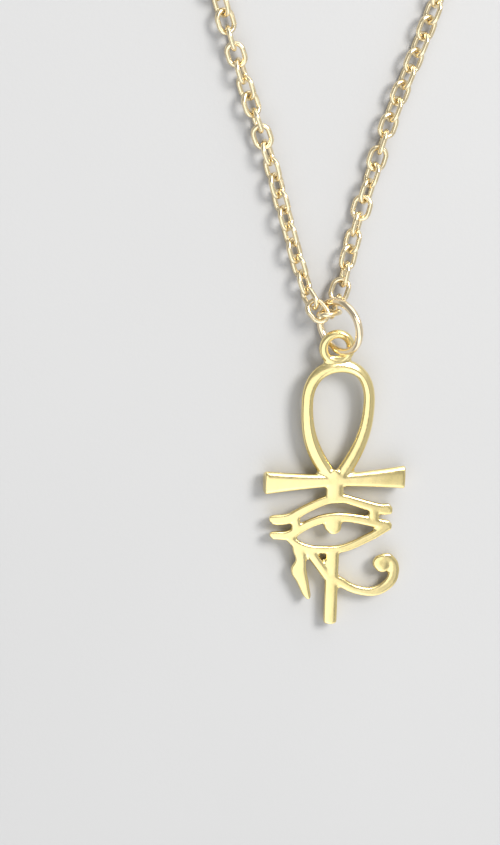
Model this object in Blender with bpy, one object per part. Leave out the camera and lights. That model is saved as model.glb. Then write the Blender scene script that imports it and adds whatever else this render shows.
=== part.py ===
# Ankh pendant with the eye of Horus, lying on a surface on its cable chain necklace.
# Metres, +Z up. The origin is on the pendant's flat back, where the arms cross the axis.
# +Y runs up the pendant to its bail, and the casting leans a little on the jump ring.

import math

import bmesh
import bpy
from mathutils import Matrix, Vector
from mathutils.geometry import interpolate_bezier

MM = 0.001

# Casting
THICKNESS = 1.6 * MM            # from the flat back to the crown of a limb
WALL_HEIGHT = 1.15 * MM         # straight side wall under the rounded top
EDGE_ROUND = 0.3 * MM           # how far the rounding reaches in from the wall
SHOULDER_RISE = 0.78            # height of the rounding's inner edge, as a share of the crown
THIN_LIMB_ROUND = 0.55          # most rounding on a thin limb, as a share of its half width
TIP_REACH = 0.4                 # length of a rounded tip, as a share of the half width
TIP_END = 0.6                   # narrowing of a rounded tip, as a share of the half width
TIP_TURN = math.radians(75)
TIP_ROWS = 3

# Teardrop hoop
HOOP_WIDTH = 8.38 * MM          # across the outside
HOOP_HEIGHT = 14.15 * MM        # from the crossing to the top of the outside
HOOP_WIDEST = 9.3 * MM          # height of the widest place above the crossing
HOOP_SIDE_LIMB = 0.98 * MM
HOOP_TOP_LIMB = 1.16 * MM
HOOP_ROOT_LIMB = 1.34 * MM
HOOP_ROOT_X = 0.84 * MM
HOOP_ROOT_Y = 0.76 * MM
HOOP_CROTCH = 0.7 * MM          # height where the neck starts to round off inside the V
HOOP_SWELL = 0.22 * MM          # the left limb is a little thicker low down
HOOP_ROOT_LEAN = math.radians(33)
HOOP_FOOT = 0.35                # share of the root's place where the limb ends in the crossing
HOOP_FULLNESS = 0.62            # roundness of the top
HOOP_ROOT_PULL = 0.36           # straightness above the root, as a share of HOOP_WIDEST
HOOP_SIDE_PULL = 0.39           # straightness below the widest place
HOOP_ROOT_TAPER = 1.3
HOOP_TOP_TAPER = 2.0

# Arms
ARM_SPAN = 16.46 * MM
ARM_SHIFT = -0.1 * MM           # the cast arms stand a little left of the axis
ARM_ROOT_HEIGHT = 1.08 * MM
ARM_END_HEIGHT = 2.38 * MM
ARM_FLARE = 1.45                # how late along the arm the flare opens

# Neck, stem and the figure of the eye
NECK_WIDTH = 1.6 * MM
STEM_WIDTH = 1.12 * MM
LOWER_HEIGHT = 17.1 * MM        # from the crossing down to the foot
EYE_HALF_WIDTH = 7.4 * MM       # from the axis to the tips of the left tails
BAND_WIDTH = 0.56 * MM          # a plain band of the brow and the lids
PUPIL_WIDTH = 1.55 * MM
CURL_BALL = 1.7 * MM            # diameter of the knob in the curl

# Bail eyelet
EYELET_HOLE = 2.3 * MM
EYELET_WIRE = 0.9 * MM
EYELET_SHIFT = -0.45 * MM       # the cast eyelet stands a little left of the axis
EYELET_MIDDLE = 1.0 * MM        # height of its wire in the casting's thickness
EYELET_SINK = 0.5               # share of its wire that stands in the hoop
COLLAR_WIDTH = 2.3 * MM
COLLAR_DEPTH = 1.0 * MM
COLLAR_DROP = 0.09 * MM         # of its middle below the top of the hoop

# Jump ring
RING_WIRE = 0.86 * MM
RING_RADIUS = 2.98 * MM         # to the middle of the wire
RING_TILT = math.radians(57.7)
RING_TURN = math.radians(191)   # compass of the ring's normal, from +X
RING_SEAT = 0.375 * MM          # how far its low end hangs past the eyelet's middle
RING_CLEARANCE = 0.3 * MM       # between its wire and the eyelet that leans on it
RING_RISE = 0.2                 # climb of the wire under the eyelet, as a share of the radius

# Chain, as the round envelope of its links
CHAIN_WIDTH = 2.0 * MM
CHAIN_FOLD = 0.58               # share of the width where the links fold inside the ring
LOOP_RADIUS = 47.5 * MM         # of the round far side of the loop
LOOP_SLOPE = math.radians(19.5)  # of each strand to the loop's axis
LOOP_AXIS_X = -1.55 * MM        # of the loop, from the middle of the eyelet
LOOP_APEX_Y = 3.8 * MM          # where both strands would meet, above the middle of the eyelet
CHAIN_POINT_GAP = 6.0 * MM
ARC_SPANS = 9                   # on each half of the round far side

# Clasp
CLASP_RADIUS = 2.7 * MM
CLASP_WIRE = 1.2 * MM
CLASP_EYE_RADIUS = 1.1 * MM
CLASP_EYE_WIRE = 0.7 * MM
CLASP_CLEARANCE = 0.3 * MM

# Route of the chain through the ring and along both strands that lie in front:
# x and y from the middle of the eyelet and height above the surface, in mm,
# and the share of the full width.
CHAIN_ROUTE = (
    (-13.96, 38.72, 1.0, 1.0),
    (-12.31, 33.37, 1.0, 1.0),
    (-10.4, 27.76, 1.0, 1.0),
    (-8.4, 22.45, 1.0, 1.0),
    (-6.7, 16.97, 1.0, 1.0),
    (-5.0, 11.19, 1.0, 1.0),
    (-3.99, 7.52, 1.2, 0.85),
    (-3.26, 5.6, 1.83, 0.7),
    (-2.45, 4.55, 2.34, CHAIN_FOLD),
    (-1.46, 3.87, 2.36, CHAIN_FOLD),
    (-0.61, 3.76, 1.78, CHAIN_FOLD),
    (-0.16, 4.4, 1.19, CHAIN_FOLD),
    (0.02, 5.32, 1.02, 0.7),
    (0.34, 6.47, 1.03, 0.85),
    (0.9, 8.27, 1.0, 1.0),
    (1.71, 12.0, 1.0, 1.0),
    (3.21, 17.84, 1.0, 1.0),
    (4.81, 23.3, 1.0, 1.0),
    (6.79, 28.72, 1.0, 1.0),
    (8.94, 34.11, 1.0, 1.0),
    (10.73, 38.79, 1.0, 1.0),
)

# Limbs of the eye figure. Each row is a place along the limb:
# across, in shares of EYE_HALF_WIDTH; down, in shares of LOWER_HEIGHT; width, in shares of BAND_WIDTH.
BROW = (
    (-0.995, -0.258, 1.1),
    (-0.93, -0.26, 1.5),
    (-0.80, -0.258, 1.5),
    (-0.68, -0.245, 1.3),
    (-0.52, -0.204, 1.05),
    (-0.34, -0.167, 1.0),
    (-0.16, -0.137, 1.05),
    (0.0, -0.128, 1.2),
    (0.16, -0.131, 1.3),
    (0.33, -0.155, 1.35),
    (0.50, -0.181, 1.4),
    (0.66, -0.207, 1.5),
    (0.78, -0.219, 1.5),
    (0.895, -0.219, 1.45),
)
UPPER_LID = (
    (-0.985, -0.368, 0.9),
    (-0.88, -0.369, 1.1),
    (-0.76, -0.372, 1.25),
    (-0.66, -0.362, 1.45),
    (-0.58, -0.340, 1.3),
    (-0.48, -0.314, 1.05),
    (-0.34, -0.286, 1.0),
    (-0.18, -0.266, 1.15),
    (0.03, -0.257, 1.25),
    (0.22, -0.264, 1.3),
    (0.40, -0.279, 1.4),
    (0.56, -0.296, 1.5),
    (0.72, -0.317, 1.6),
    (0.82, -0.331, 1.4),
    (0.895, -0.338, 1.25),
)
LOWER_LID = (
    (-0.70, -0.378, 1.5),
    (-0.62, -0.415, 1.65),
    (-0.50, -0.450, 1.45),
    (-0.36, -0.471, 1.1),
    (-0.20, -0.481, 0.95),
    (0.0, -0.484, 0.9),
    (0.16, -0.479, 0.9),
    (0.32, -0.458, 0.9),
    (0.49, -0.424, 0.92),
    (0.66, -0.388, 0.95),
    (0.84, -0.343, 1.1),
)
TEAR_MARK = (
    (-0.58, -0.435, 1.6),
    (-0.545, -0.485, 1.9),
    (-0.515, -0.543, 1.4),
    (-0.52, -0.580, 1.7),
    (-0.538, -0.612, 2.4),
    (-0.533, -0.637, 2.5),
    (-0.510, -0.663, 2.15),
    (-0.487, -0.685, 1.85),
    (-0.440, -0.747, 1.35),
    (-0.405, -0.793, 1.0),
    (-0.388, -0.816, 0.5),
)
STRUT = (
    (-0.375, -0.472, 1.6),
    (-0.225, -0.555, 1.65),
    (-0.03, -0.665, 1.65),
)
CURL = (
    (0.02, -0.694, 1.6),
    (0.155, -0.722, 1.5),
    (0.27, -0.753, 1.4),
    (0.405, -0.779, 1.3),
    (0.565, -0.796, 1.25),
    (0.70, -0.797, 1.25),
    (0.825, -0.778, 1.25),
    (0.925, -0.746, 1.2),
    (0.985, -0.708, 1.12),
    (1.015, -0.667, 1.05),
    (1.018, -0.628, 1.0),
    (0.995, -0.590, 1.0),
    (0.940, -0.568, 1.05),
    (0.870, -0.568, 1.1),
)
LEFT_POST = ((-0.64, -0.245), (-0.585, -0.345))
RIGHT_POST = ((0.625, -0.205), (0.645, -0.305))
POST_WIDTH = 1.25               # shares of BAND_WIDTH
CURL_BALL_PLACE = (0.815, -0.603)
PUPIL_END = -0.350              # share of LOWER_HEIGHT
PUPIL_SHIFT = -0.02             # share of EYE_HALF_WIDTH


def clear_scene():
    for thing in list(bpy.data.objects):
        bpy.data.objects.remove(thing, do_unlink=True)


def new_collection(name):
    collection = bpy.data.collections.new(name)
    bpy.context.scene.collection.children.link(collection)
    return collection


def make_material(name, colour, roughness):
    material = bpy.data.materials.new(name)
    material.use_nodes = True
    shader = material.node_tree.nodes["Principled BSDF"]
    shader.inputs["Base Color"].default_value = (*colour, 1.0)
    shader.inputs["Roughness"].default_value = roughness
    shader.inputs["Metallic"].default_value = 1.0
    return material


def link_mesh(name, bm, collection):
    """Makes an object from a closed bmesh whose faces are turned outwards first."""
    bmesh.ops.recalc_face_normals(bm, faces=bm.faces)
    mesh = bpy.data.meshes.new(name)
    bm.to_mesh(mesh)
    bm.free()
    thing = bpy.data.objects.new(name, mesh)
    collection.objects.link(thing)
    return thing


def smooth_rows(rows, steps):
    """Catmull-Rom curve through rows of numbers, with the given steps for each span."""
    rows = [Vector(row).resized(4) if len(row) < 4 else Vector(row) for row in rows]
    first = rows[0] * 2 - rows[1]
    last = rows[-1] * 2 - rows[-2]
    padded = [first] + rows + [last]
    points = []
    for index in range(1, len(padded) - 2):
        before, start, end, after = padded[index - 1:index + 3]
        count = steps[index - 1] if isinstance(steps, list) else steps
        for step in range(count):
            t = step / count
            points.append(0.5 * (
                2 * start
                + (end - before) * t
                + (2 * before - 5 * start + 4 * end - after) * t ** 2
                + (3 * start - before - 3 * end + after) * t ** 3))
    points.append(rows[-1])
    return points


def limb_section(half_width):
    """Across and height of a limb's section: flat back, straight walls, rounded top."""
    rounding = min(EDGE_ROUND, THIN_LIMB_ROUND * half_width)
    shoulder = WALL_HEIGHT + SHOULDER_RISE * (THICKNESS - WALL_HEIGHT)
    return (
        (-half_width, 0.0),
        (-half_width, WALL_HEIGHT),
        (-half_width + rounding, shoulder),
        (0.0, THICKNESS),
        (half_width - rounding, shoulder),
        (half_width, WALL_HEIGHT),
        (half_width, 0.0),
    )


def make_limb(name, stations, collection):
    """A limb lofted through stations of x, y and half width, lying flat on the back plane."""
    bm = bmesh.new()
    rings = []
    for index, (x, y, half_width) in enumerate(stations):
        ahead = stations[min(index + 1, len(stations) - 1)]
        behind = stations[max(index - 1, 0)]
        along = Vector((ahead[0] - behind[0], ahead[1] - behind[1])).normalized()
        side = Vector((along.y, -along.x))
        rings.append([
            bm.verts.new((x + side.x * across, y + side.y * across, height))
            for across, height in limb_section(half_width)])
    count = len(rings[0])
    for near, far in zip(rings, rings[1:]):
        for index in range(count):
            following = (index + 1) % count
            bm.faces.new((near[index], near[following], far[following], far[index]))
    bm.faces.new(list(reversed(rings[0])))
    bm.faces.new(rings[-1])
    return link_mesh(name, bm, collection)


def table_limb(name, table, collection, steps=2, round_ends=False):
    """A limb of the eye figure, from its table of shares."""
    rows = smooth_rows(table, steps)
    stations = [
        (row[0] * EYE_HALF_WIDTH, row[1] * LOWER_HEIGHT, row[2] * BAND_WIDTH / 2)
        for row in rows]
    if round_ends:
        stations = round_both(stations)
    return make_limb(name, stations, collection)


def round_tip(stations):
    """Adds narrowing stations that round off the limb past its last one."""
    last = Vector(stations[-1][:2])
    along = (last - Vector(stations[-2][:2])).normalized()
    half_width = stations[-1][2]
    for row in range(1, TIP_ROWS + 1):
        angle = TIP_TURN * row / TIP_ROWS
        place = last + along * TIP_REACH * half_width * math.sin(angle)
        share = TIP_END + (1 - TIP_END) * math.cos(angle)
        stations.append((place.x, place.y, half_width * share))
    return stations


def round_both(stations):
    return round_tip(list(reversed(round_tip(stations))))


def make_ring(name, radius, wire, segments, sides, collection):
    """A round wire ring lying flat, with its middle at the object's origin."""
    bpy.ops.mesh.primitive_torus_add(
        major_radius=radius, minor_radius=wire / 2, major_segments=segments, minor_segments=sides)
    thing = bpy.context.object
    thing.name = name
    thing.data.name = name
    for owner in list(thing.users_collection):
        owner.objects.unlink(thing)
    collection.objects.link(thing)
    return thing


def hoop_stations():
    """The teardrop from its left root, over the top, down to its right root."""
    side = HOOP_WIDTH / 2 - HOOP_SIDE_LIMB / 2
    top = HOOP_HEIGHT - HOOP_TOP_LIMB / 2
    widest = Vector((side, HOOP_WIDEST, 0))
    root = Vector((HOOP_ROOT_X, HOOP_ROOT_Y, 0))
    lean = Vector((math.sin(HOOP_ROOT_LEAN), math.cos(HOOP_ROOT_LEAN), 0))
    lower = interpolate_bezier(
        root,
        root + lean * HOOP_ROOT_PULL * HOOP_WIDEST,
        widest - Vector((0, HOOP_SIDE_PULL * HOOP_WIDEST, 0)),
        widest, 10)
    upper = interpolate_bezier(
        widest,
        widest + Vector((0, HOOP_FULLNESS * (top - HOOP_WIDEST), 0)),
        Vector((HOOP_FULLNESS * side, top, 0)),
        Vector((0, top, 0)), 9)
    right = list(lower)[:-1] + list(upper)
    stations = []
    for point in right:
        if point.y < HOOP_WIDEST:
            share = (HOOP_WIDEST - point.y) / (HOOP_WIDEST - HOOP_ROOT_Y)
            width = HOOP_SIDE_LIMB + (HOOP_ROOT_LIMB - HOOP_SIDE_LIMB) * share ** HOOP_ROOT_TAPER
        else:
            share = (point.y - HOOP_WIDEST) / (top - HOOP_WIDEST)
            width = HOOP_SIDE_LIMB + (HOOP_TOP_LIMB - HOOP_SIDE_LIMB) * share ** HOOP_TOP_TAPER
        stations.append((point.x, point.y, width / 2))
    stations.insert(0, (
        HOOP_FOOT * HOOP_ROOT_X, -HOOP_FOOT * HOOP_ROOT_Y, HOOP_FOOT * HOOP_ROOT_LIMB / 2))
    left = []
    for x, y, half_width in stations[:-1]:
        share = min(max(y / HOOP_WIDEST, 0.0), 1.0)
        swell = HOOP_SWELL * math.sin(math.pi * share ** 0.7) ** 2 / 2
        left.append((-x - swell, y, half_width + swell))
    return left + list(reversed(stations))


def arm_stations():
    """Both arms as one limb, narrow at the crossing and flared to the ends."""
    stations = []
    rows = 8
    for row in range(-rows, rows + 1):
        share = abs(row) / rows
        height = ARM_ROOT_HEIGHT + (ARM_END_HEIGHT - ARM_ROOT_HEIGHT) * share ** ARM_FLARE
        stations.append((ARM_SHIFT + row / rows * ARM_SPAN / 2, 0.0, height / 2))
    return stations


def bar_stations(start, end, width):
    return [(*start, width / 2), (*end, width / 2)]


def share_place(place):
    return (place[0] * EYE_HALF_WIDTH, place[1] * LOWER_HEIGHT)


def make_ball(collection):
    """The round knob at the end of the curl, turned about its own axis."""
    radius = CURL_BALL / 2
    profile = (
        (0.0, THICKNESS),
        (radius - EDGE_ROUND, WALL_HEIGHT + SHOULDER_RISE * (THICKNESS - WALL_HEIGHT)),
        (radius, WALL_HEIGHT),
        (radius, 0.0),
        (0.0, 0.0),
    )
    bm = bmesh.new()
    verts = [bm.verts.new((across, 0.0, height)) for across, height in profile]
    edges = [bm.edges.new(pair) for pair in zip(verts, verts[1:])]
    bmesh.ops.spin(
        bm, geom=verts + edges, cent=(0, 0, 0), axis=(0, 0, 1), angle=math.tau, steps=18,
        use_merge=True)
    bmesh.ops.remove_doubles(bm, verts=bm.verts, dist=0.00001)
    x, y = share_place(CURL_BALL_PLACE)
    bmesh.ops.translate(bm, verts=bm.verts, vec=(x, y, 0))
    return link_mesh("curl_ball", bm, collection)


def eyelet_place():
    """Middle of the bail eyelet in the casting's own frame."""
    height = HOOP_HEIGHT + (1 - EYELET_SINK) * EYELET_WIRE + EYELET_HOLE / 2
    return Vector((EYELET_SHIFT, height, EYELET_MIDDLE))


def casting_matrix():
    """Lean of the casting: its foot on the surface, its eyelet on the jump ring's wire."""
    reach = LOWER_HEIGHT + eyelet_place().y
    lift = RING_WIRE + RING_RISE * RING_RADIUS + RING_CLEARANCE + EYELET_WIRE / 2
    lean = math.asin((lift - EYELET_MIDDLE) / reach)
    return Matrix.Rotation(lean, 4, "X"), -LOWER_HEIGHT * math.sin(lean)


def join_all(main, others):
    """Unites the other solids with the main one, and removes them."""
    for other in others:
        modifier = main.modifiers.new("join", "BOOLEAN")
        modifier.operation = "UNION"
        modifier.solver = "EXACT"
        modifier.object = other
        graph = bpy.context.evaluated_depsgraph_get()
        joined = bpy.data.meshes.new_from_object(main.evaluated_get(graph))
        main.modifiers.clear()
        main.data = joined
        bpy.data.objects.remove(other, do_unlink=True)


def make_pendant(collection, lean):
    """The whole casting, one piece of metal."""
    eyelet = eyelet_place()
    bail = make_ring("eyelet", (EYELET_HOLE + EYELET_WIRE) / 2, EYELET_WIRE, 28, 12, collection)
    bail.data.transform(Matrix.Translation(eyelet))
    collar_y = HOOP_HEIGHT - COLLAR_DROP
    collar_middle = EYELET_SHIFT / 2
    collar = make_limb("collar", round_both(bar_stations(
        (collar_middle - COLLAR_WIDTH / 2, collar_y),
        (collar_middle + COLLAR_WIDTH / 2, collar_y), COLLAR_DEPTH)), collection)
    hoop = make_limb("pendant", hoop_stations(), collection)
    neck_foot = BROW[7][1] * LOWER_HEIGHT
    stem_head = LOWER_LID[5][1] * LOWER_HEIGHT
    stem_foot = -LOWER_HEIGHT + TIP_REACH * STEM_WIDTH / 2
    others = [
        make_limb("arms", arm_stations(), collection),
        make_limb("neck", round_tip(bar_stations(
            (0, neck_foot), (0, HOOP_CROTCH), NECK_WIDTH)), collection),
        table_limb("brow", BROW, collection, round_ends=True),
        table_limb("upper_lid", UPPER_LID, collection, round_ends=True),
        table_limb("lower_lid", LOWER_LID, collection),
        make_limb("left_post", bar_stations(
            *map(share_place, LEFT_POST), POST_WIDTH * BAND_WIDTH), collection),
        make_limb("right_post", bar_stations(
            *map(share_place, RIGHT_POST), POST_WIDTH * BAND_WIDTH), collection),
        make_limb("pupil", round_tip(bar_stations(
            share_place((PUPIL_SHIFT, UPPER_LID[8][1])),
            share_place((PUPIL_SHIFT, PUPIL_END)), PUPIL_WIDTH)), collection),
        table_limb("tear_mark", TEAR_MARK, collection),
        table_limb("strut", STRUT, collection, steps=1),
        make_limb("stem", round_tip(bar_stations(
            (0, stem_head), (0, stem_foot), STEM_WIDTH)), collection),
        table_limb("curl", CURL, collection),
        make_ball(collection),
        collar,
        bail,
    ]
    join_all(hoop, others)
    hoop.matrix_world = lean
    return hoop


def make_jump_ring(collection, anchor, floor):
    """The wire ring through the eyelet, low on its left side and high on its right."""
    middle = Vector((
        anchor.x,
        anchor.y + RING_RADIUS - RING_SEAT,
        floor + RING_WIRE / 2 + RING_RADIUS * math.sin(RING_TILT)))
    ring = make_ring("jump_ring", RING_RADIUS, RING_WIRE, 36, 12, collection)
    ring.matrix_world = (
        Matrix.Translation(middle)
        @ Matrix.Rotation(RING_TURN, 4, "Z")
        @ Matrix.Rotation(RING_TILT, 4, "Y"))
    return ring


def loop_middle(anchor):
    """Middle of the round far side of the loop."""
    return Vector((
        anchor.x + LOOP_AXIS_X,
        anchor.y + LOOP_APEX_Y + LOOP_RADIUS / math.sin(LOOP_SLOPE)))


def far_arc(anchor, from_angle, to_angle):
    """Points on the round far side of the loop, by angle from +X about its middle."""
    middle = loop_middle(anchor)
    points = []
    for index in range(ARC_SPANS + 1):
        angle = from_angle + (to_angle - from_angle) * index / ARC_SPANS
        points.append((
            middle.x + LOOP_RADIUS * math.cos(angle),
            middle.y + LOOP_RADIUS * math.sin(angle)))
    return points


def clasp_span():
    """Half the room that the clasp takes between the chain's two ends."""
    eye_side = CLASP_RADIUS + CLASP_WIRE / 2 + 2 * CLASP_EYE_RADIUS + CLASP_EYE_WIRE / 2
    ring_side = CLASP_RADIUS + CLASP_WIRE / 2
    return eye_side, ring_side


def split_long_spans(route, limit):
    """The same route with points added on the straight strands."""
    rows = [route[0]]
    for start, end in zip(route, route[1:]):
        count = math.ceil(math.dist(start[:3], end[:3]) / limit)
        for index in range(1, count + 1):
            share = index / count
            rows.append(tuple(a + (b - a) * share for a, b in zip(start, end)))
    return rows


def chain_points(anchor, floor):
    """The chain's middle line from the clasp's eye, round the loop, to the clasp's ring."""
    eye_side, ring_side = clasp_span()
    half_gap = (eye_side + ring_side) / 2 + CLASP_CLEARANCE
    gap_angle = math.asin(half_gap / LOOP_RADIUS)
    height = CHAIN_WIDTH / 2
    left = far_arc(anchor, math.pi / 2 + gap_angle, math.pi + LOOP_SLOPE)
    right = far_arc(anchor, -LOOP_SLOPE, math.pi / 2 - gap_angle)
    route = [(x, y, height, 1.0) for x, y in left]
    for x, y, up, share in CHAIN_ROUTE:
        route.append((anchor.x + x * MM, anchor.y + y * MM, up * MM, share))
    route += [(x, y, height, 1.0) for x, y in right]
    route = split_long_spans(route, 2 * CHAIN_POINT_GAP)
    steps = []
    for start, end in zip(route, route[1:]):
        length = math.dist(start[:3], end[:3])
        steps.append(2 if length < CHAIN_POINT_GAP / 2 else max(1, round(length / CHAIN_POINT_GAP)))
    points = smooth_rows(route, steps)
    return [(Vector((point[0], point[1], floor + point[2])), point[3]) for point in points]


def make_chain(collection, anchor, floor):
    """One tube along the whole chain."""
    curve = bpy.data.curves.new("chain", "CURVE")
    curve.dimensions = "3D"
    curve.bevel_depth = CHAIN_WIDTH / 2
    curve.bevel_resolution = 2
    curve.use_fill_caps = True
    points = chain_points(anchor, floor)
    spline = curve.splines.new("POLY")
    spline.points.add(len(points) - 1)
    for target, (place, share) in zip(spline.points, points):
        target.co = (*place, 1.0)
        target.radius = share
    chain = bpy.data.objects.new("chain", curve)
    collection.objects.link(chain)
    return chain


def make_clasp(collection, anchor, floor):
    """A plain ring clasp with a small eye for the chain's other end."""
    eye_side, ring_side = clasp_span()
    far = loop_middle(anchor)
    middle = Vector((
        far.x + (eye_side - ring_side) / 2,
        far.y + LOOP_RADIUS,
        floor + CLASP_WIRE / 2))
    clasp = make_ring("clasp", CLASP_RADIUS, CLASP_WIRE, 28, 12, collection)
    eye = make_ring("clasp_eye", CLASP_EYE_RADIUS, CLASP_EYE_WIRE, 20, 8, collection)
    reach = CLASP_RADIUS + CLASP_WIRE / 2 + CLASP_EYE_RADIUS
    eye.data.transform(Matrix.Translation((-reach, 0, 0)))
    join_all(clasp, [eye])
    clasp.matrix_world = Matrix.Translation(middle)
    return clasp


def finish_piece(thing, material, smooth_angle):
    thing.data.materials.clear()
    thing.data.materials.append(material)
    if thing.type == "MESH":
        thing.data.shade_smooth()
        thing.data.set_sharp_from_angle(angle=smooth_angle)


def main():
    clear_scene()
    collection = new_collection("ankh_pendant_necklace")
    lean, floor = casting_matrix()
    anchor = lean @ eyelet_place()
    pieces = (
        (make_pendant(collection, lean), make_material("lemon_gold", (0.86, 0.68, 0.27), 0.2)),
        (make_jump_ring(collection, anchor, floor), make_material("pale_gold", (0.85, 0.68, 0.42), 0.18)),
        (make_chain(collection, anchor, floor), make_material("chain_gold", (0.83, 0.66, 0.38), 0.25)),
        (make_clasp(collection, anchor, floor), make_material("clasp_gold", (0.84, 0.67, 0.40), 0.22)),
    )
    for thing, material in pieces:
        finish_piece(thing, material, math.radians(40))


main()
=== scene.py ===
# Ankh pendant with a pierced eye figure, lying on a pale surface on its cable chain.
# Lengths in the settings are millimetres and angles are degrees.

import math
import random

import bpy
import numpy as np
from mathutils import Matrix, Vector
from mathutils.geometry import interpolate_bezier


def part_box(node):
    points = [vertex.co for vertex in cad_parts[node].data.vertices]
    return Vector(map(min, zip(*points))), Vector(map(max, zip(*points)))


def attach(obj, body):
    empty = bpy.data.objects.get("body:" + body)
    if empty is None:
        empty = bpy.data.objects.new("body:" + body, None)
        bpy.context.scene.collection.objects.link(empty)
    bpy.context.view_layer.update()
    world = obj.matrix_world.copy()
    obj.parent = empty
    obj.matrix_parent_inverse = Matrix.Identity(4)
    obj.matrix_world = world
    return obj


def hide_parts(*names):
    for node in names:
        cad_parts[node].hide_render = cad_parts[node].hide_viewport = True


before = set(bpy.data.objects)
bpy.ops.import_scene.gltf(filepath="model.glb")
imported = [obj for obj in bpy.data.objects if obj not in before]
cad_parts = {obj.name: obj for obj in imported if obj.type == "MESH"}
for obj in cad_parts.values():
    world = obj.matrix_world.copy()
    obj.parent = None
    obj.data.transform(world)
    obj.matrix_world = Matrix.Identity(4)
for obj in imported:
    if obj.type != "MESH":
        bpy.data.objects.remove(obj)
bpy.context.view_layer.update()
mm = 0.001
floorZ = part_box("clasp")[0][2]        # the clasp lies on the surface

# Camera

cameraSetup = {
    "place": (-94.41, 91.34, 336.98),
    "aim": (-9.449, 6.382, -2.379),
    "roll": 1.2,
    "lens": 89.44,
    "sensorHeight": 24.0,
    "clip": (0.01, 20.0),      # metres
}


def cameraAxes():
    toCamera = (Vector(cameraSetup["place"]) - Vector(cameraSetup["aim"])).normalized()
    up = Vector((0, 1, 0))
    up = (up - toCamera * up.dot(toCamera)).normalized()
    right = up.cross(toCamera)
    roll = math.radians(cameraSetup["roll"])
    rolledRight = right * math.cos(roll) + up * math.sin(roll)
    rolledUp = up * math.cos(roll) - right * math.sin(roll)
    return rolledRight, rolledUp, toCamera


def addCamera():
    camera = bpy.data.objects.new("camera", bpy.data.cameras.new("camera"))
    camera.data.sensor_fit = "VERTICAL"
    camera.data.sensor_height = cameraSetup["sensorHeight"]
    camera.data.lens = cameraSetup["lens"]
    camera.data.clip_start, camera.data.clip_end = cameraSetup["clip"]
    turn = Matrix(cameraAxes()).transposed().to_4x4()
    camera.matrix_world = Matrix.Translation(Vector(cameraSetup["place"]) * mm) @ turn
    bpy.context.scene.collection.objects.link(camera)
    bpy.context.scene.camera = camera


addCamera()
viewDirection = cameraAxes()[2]
print("camera placed")

# Shader helpers


def newGroup(name, inputs, outputs):
    group = bpy.data.node_groups.new(name, "ShaderNodeTree")
    for label, kind, value in inputs:
        socket = group.interface.new_socket(label, in_out="INPUT", socket_type=kind)
        socket.default_value = value
    for label, kind in outputs:
        group.interface.new_socket(label, in_out="OUTPUT", socket_type=kind)
    return group, group.nodes.new("NodeGroupInput"), group.nodes.new("NodeGroupOutput")


def addNode(tree, kind, values=None, **settings):
    node = tree.nodes.new(kind)
    for label, value in settings.items():
        setattr(node, label, value)
    for label, value in (values or {}).items():
        node.inputs[label].default_value = value
    return node


def joinSockets(tree, *pairs):
    for start, end in pairs:
        tree.links.new(start, end)


def mathNode(tree, operation, first, second, clamp=False):
    node = tree.nodes.new("ShaderNodeMath")
    node.operation = operation
    node.use_clamp = clamp
    for slot, value in enumerate((first, second)):
        if isinstance(value, (int, float)):
            node.inputs[slot].default_value = value
        else:
            tree.links.new(value, node.inputs[slot])
    return node.outputs[0]


# Slow drift of the plating's tone, with a deeper tint in patches
def makeToneDrift():
    group, given, result = newGroup("toneDrift", (
        ("Metal", "NodeSocketColor", (0.9, 0.7, 0.4, 1)),
        ("Deep Metal", "NodeSocketColor", (0.8, 0.55, 0.3, 1)),
        ("Patch Scale", "NodeSocketFloat", 300.0),
        ("Amount", "NodeSocketFloat", 0.4),
    ), (("Colour", "NodeSocketColor"), ("Mask", "NodeSocketFloat")))
    place = addNode(group, "ShaderNodeTexCoord")
    patches = addNode(group, "ShaderNodeTexNoise", {"Detail": 3.0, "Roughness": 0.55})
    spread = addNode(group, "ShaderNodeMapRange", {"From Min": 0.35, "From Max": 0.7})
    blend = addNode(group, "ShaderNodeMix", data_type="RGBA")
    share = mathNode(group, "MULTIPLY", spread.outputs["Result"], given.outputs["Amount"], True)
    joinSockets(
        group,
        (place.outputs["Object"], patches.inputs["Vector"]),
        (given.outputs["Patch Scale"], patches.inputs["Scale"]),
        (patches.outputs["Fac"], spread.inputs["Value"]),
        (share, blend.inputs["Factor"]),
        (given.outputs["Metal"], blend.inputs["A"]),
        (given.outputs["Deep Metal"], blend.inputs["B"]),
        (blend.outputs["Result"], result.inputs["Colour"]),
        (share, result.inputs["Mask"]))
    return group


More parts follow.
